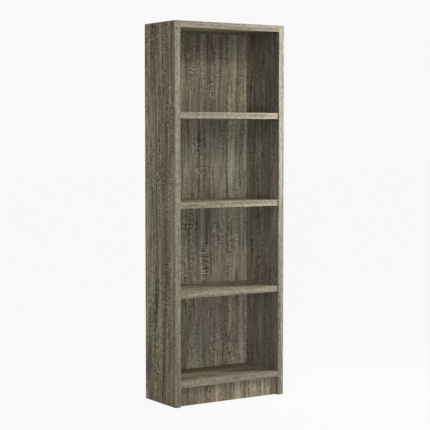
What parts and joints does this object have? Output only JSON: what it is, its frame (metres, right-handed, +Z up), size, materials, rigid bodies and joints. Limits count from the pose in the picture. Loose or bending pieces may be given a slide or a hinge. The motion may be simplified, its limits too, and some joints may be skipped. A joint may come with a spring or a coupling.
{
  "type": "bookcase with adjustable shelves",
  "caption": "Tall narrow open bookcase: flush top, recessed kick plate, thin back panel and board shelves that lift off pins set in rows of holes.",
  "frame": {"origin": "on the floor, below the middle of the case's overall box", "axes": "+Z up, +X to the right seen from the front, the open front faces -Y"},
  "size_m": [0.522, 0.24, 1.524],
  "materials": {
    "laminate": "matt woodgrain laminate on particle board, grey-brown weathered oak",
    "edge_band": "woodgrain edge banding, lighter and finer than the faces",
    "back_board": "printed woodgrain inside, plain hardboard outside",
    "pin_nickel": "nickel-plated steel",
    "cam_zinc": "die-cast zinc, as cast",
    "bolt_steel": "zinc-plated steel",
    "nail_steel": "bright steel",
    "dowel_beech": "fluted beech"
  },
  "bodies": {
    "case": {"left_side_panel": "laminate", "right_side_panel": "laminate", "top_panel": "laminate", "bottom_shelf": "laminate", "kick_plate": "laminate", "back_panel": "back_board", "left_side_edge_band": "edge_band", "right_side_edge_band": "edge_band", "top_edge_band": "edge_band", "bottom_shelf_edge_band": "edge_band", "top_cam_bolts": "bolt_steel", "bottom_cam_bolts": "bolt_steel", "kick_cam_bolts": "bolt_steel", "top_cam_locks": "cam_zinc", "bottom_cam_locks": "cam_zinc", "kick_cam_locks": "cam_zinc", "top_dowels": "dowel_beech", "bottom_dowels": "dowel_beech", "kick_dowels": "dowel_beech", "back_panel_nails": "nail_steel"},
    "lower_shelf": {"lower_shelf": "laminate", "lower_shelf_edge_band": "edge_band"},
    "middle_shelf": {"middle_shelf": "laminate", "middle_shelf_edge_band": "edge_band"},
    "upper_shelf": {"upper_shelf": "laminate", "upper_shelf_edge_band": "edge_band"},
    "lower_shelf_pin_left_front": {"lower_shelf_pin_left_front": "pin_nickel"},
    "lower_shelf_pin_left_rear": {"lower_shelf_pin_left_rear": "pin_nickel"},
    "lower_shelf_pin_right_front": {"lower_shelf_pin_right_front": "pin_nickel"},
    "lower_shelf_pin_right_rear": {"lower_shelf_pin_right_rear": "pin_nickel"},
    "middle_shelf_pin_left_front": {"middle_shelf_pin_left_front": "pin_nickel"},
    "middle_shelf_pin_left_rear": {"middle_shelf_pin_left_rear": "pin_nickel"},
    "middle_shelf_pin_right_front": {"middle_shelf_pin_right_front": "pin_nickel"},
    "middle_shelf_pin_right_rear": {"middle_shelf_pin_right_rear": "pin_nickel"},
    "upper_shelf_pin_left_front": {"upper_shelf_pin_left_front": "pin_nickel"},
    "upper_shelf_pin_left_rear": {"upper_shelf_pin_left_rear": "pin_nickel"},
    "upper_shelf_pin_right_front": {"upper_shelf_pin_right_front": "pin_nickel"},
    "upper_shelf_pin_right_rear": {"upper_shelf_pin_right_rear": "pin_nickel"}
  },
  "joints": [
    {"name": "lower_shelf_lift", "type": "slide", "parent": "case", "child": "lower_shelf", "axis": [0, 0, 1], "range_m": [0, 0.064]},
    {"name": "middle_shelf_lift", "type": "slide", "parent": "case", "child": "middle_shelf", "axis": [0, 0, 1], "range_m": [0, 0.064]},
    {"name": "upper_shelf_lift", "type": "slide", "parent": "case", "child": "upper_shelf", "axis": [0, 0, 1], "range_m": [0, 0.064]},
    {"name": "lower_shelf_pin_left_front_pull", "type": "slide", "parent": "case", "child": "lower_shelf_pin_left_front", "axis": [1, 0, 0], "range_m": [0, 0.0105]},
    {"name": "lower_shelf_pin_left_rear_pull", "type": "slide", "parent": "case", "child": "lower_shelf_pin_left_rear", "axis": [1, 0, 0], "range_m": [0, 0.0105]},
    {"name": "lower_shelf_pin_right_front_pull", "type": "slide", "parent": "case", "child": "lower_shelf_pin_right_front", "axis": [-1, 0, 0], "range_m": [0, 0.0105]},
    {"name": "lower_shelf_pin_right_rear_pull", "type": "slide", "parent": "case", "child": "lower_shelf_pin_right_rear", "axis": [-1, 0, 0], "range_m": [0, 0.0105]},
    {"name": "middle_shelf_pin_left_front_pull", "type": "slide", "parent": "case", "child": "middle_shelf_pin_left_front", "axis": [1, 0, 0], "range_m": [0, 0.0105]},
    {"name": "middle_shelf_pin_left_rear_pull", "type": "slide", "parent": "case", "child": "middle_shelf_pin_left_rear", "axis": [1, 0, 0], "range_m": [0, 0.0105]},
    {"name": "middle_shelf_pin_right_front_pull", "type": "slide", "parent": "case", "child": "middle_shelf_pin_right_front", "axis": [-1, 0, 0], "range_m": [0, 0.0105]},
    {"name": "middle_shelf_pin_right_rear_pull", "type": "slide", "parent": "case", "child": "middle_shelf_pin_right_rear", "axis": [-1, 0, 0], "range_m": [0, 0.0105]},
    {"name": "upper_shelf_pin_left_front_pull", "type": "slide", "parent": "case", "child": "upper_shelf_pin_left_front", "axis": [1, 0, 0], "range_m": [0, 0.0105]},
    {"name": "upper_shelf_pin_left_rear_pull", "type": "slide", "parent": "case", "child": "upper_shelf_pin_left_rear", "axis": [1, 0, 0], "range_m": [0, 0.0105]},
    {"name": "upper_shelf_pin_right_front_pull", "type": "slide", "parent": "case", "child": "upper_shelf_pin_right_front", "axis": [-1, 0, 0], "range_m": [0, 0.0105]},
    {"name": "upper_shelf_pin_right_rear_pull", "type": "slide", "parent": "case", "child": "upper_shelf_pin_right_rear", "axis": [-1, 0, 0], "range_m": [0, 0.0105]}
  ]
}
